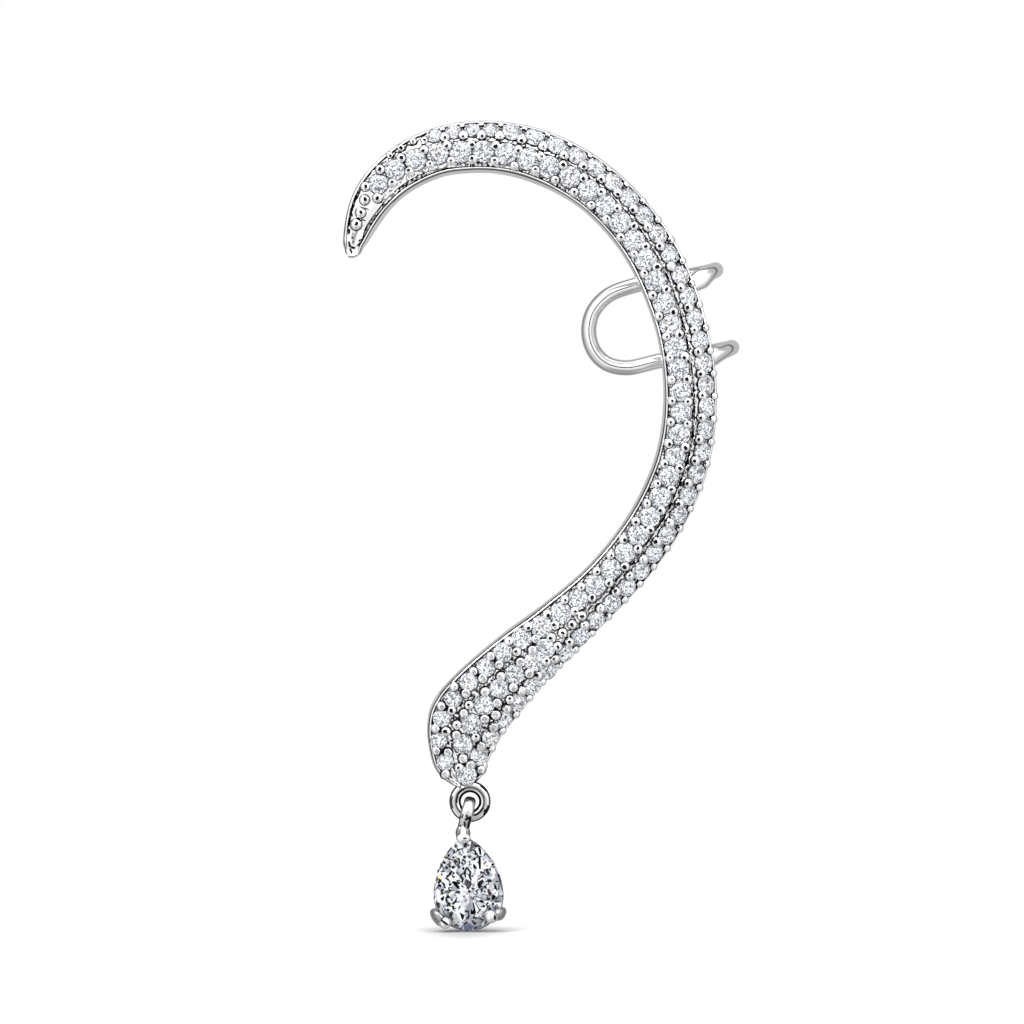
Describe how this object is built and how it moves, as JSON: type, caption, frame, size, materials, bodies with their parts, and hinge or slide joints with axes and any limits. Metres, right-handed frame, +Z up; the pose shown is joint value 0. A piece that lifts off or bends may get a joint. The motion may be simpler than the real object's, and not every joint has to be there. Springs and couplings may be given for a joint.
{
  "type": "ear climber",
  "caption": "Curved ear climber earring with pave-set stones, a wire ear cuff behind it and a hanging pear-shaped stone drop.",
  "frame": {"origin": "middle of the ear's rim where it passes through the cuff, halfway between the bar's back wires and the rear wires", "axes": "+Z up the worn piece, -Y out of its jewelled front, +X towards the back of the wearer's left ear"},
  "size_m": [0.0284, 0.0091, 0.0578],
  "materials": {
    "white_metal": "bright polished rhodium-plated metal",
    "clear_stone": "facetted and polished, colourless"
  },
  "bodies": {
    "climber": {"climber_frame": "white_metal"},
    "drop": {"drop_setting": "white_metal", "pear_stone": "clear_stone"}
  },
  "joints": [
    {"name": "drop_swing", "type": "hinge", "parent": "climber", "child": "drop", "pos_m": [-0.01524, -0.00399, -0.03429], "axis": [0, 1, 0], "range_deg": [-60, 60]}
  ]
}
